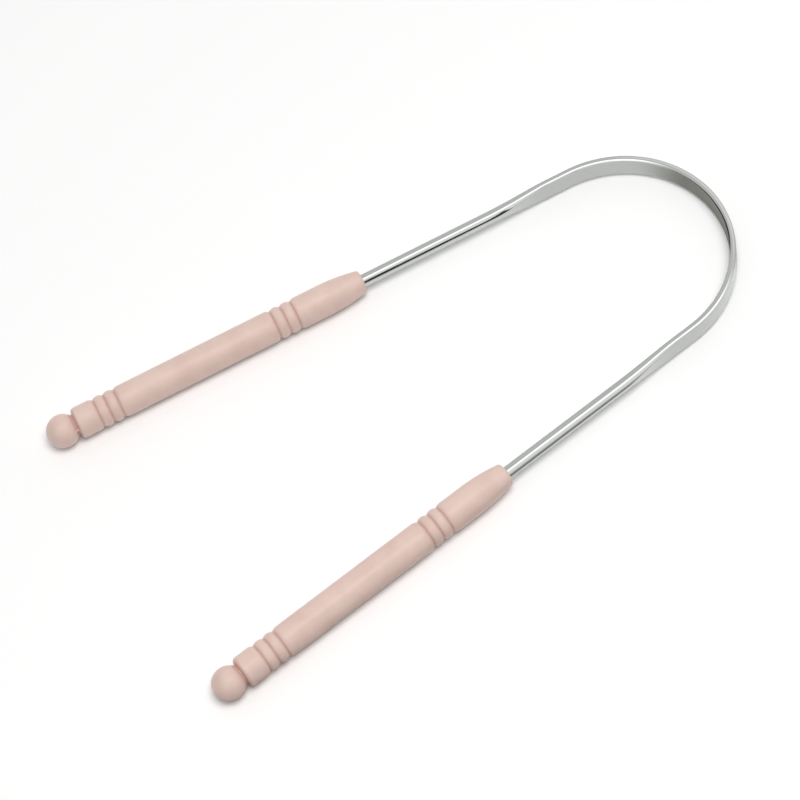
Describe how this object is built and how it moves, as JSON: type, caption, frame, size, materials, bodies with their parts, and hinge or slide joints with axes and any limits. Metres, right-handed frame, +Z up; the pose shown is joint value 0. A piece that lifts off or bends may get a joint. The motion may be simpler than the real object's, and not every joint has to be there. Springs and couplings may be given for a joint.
{
  "type": "tongue scraper",
  "caption": "U-shaped hand tongue scraper: a springy steel wire bow pressed flat into a scraping band at its crown, with ringed, ball-ended moulded handles on its legs.",
  "frame": {"origin": "below the middle of the object's box, on the surface that it lies on", "axes": "+X across the bow to the right hand, +Y from the ball ends towards the crown, +Z up, square to the plane of the bow"},
  "size_m": [0.0834, 0.157, 0.0078],
  "materials": {
    "polished_steel": "polished",
    "pink_plastic": "satin"
  },
  "bodies": {
    "crown": {"scraping_band": "polished_steel"},
    "left_arm": {"left_wire_leg": "polished_steel", "left_handle": "pink_plastic"},
    "right_arm": {"right_wire_leg": "polished_steel", "right_handle": "pink_plastic"}
  },
  "joints": [
    {"name": "left_arm_flex", "type": "hinge", "parent": "crown", "child": "left_arm", "pos_m": [-0.02538, 0.05472, 0.0039], "axis": [0, 0, 1], "range_deg": [-5, 8], "stiffness_Nm_per_rad": 8},
    {"name": "right_arm_flex", "type": "hinge", "parent": "crown", "child": "right_arm", "pos_m": [0.02538, 0.05472, 0.0039], "axis": [0, 0, -1], "range_deg": [-5, 8], "stiffness_Nm_per_rad": 8}
  ]
}
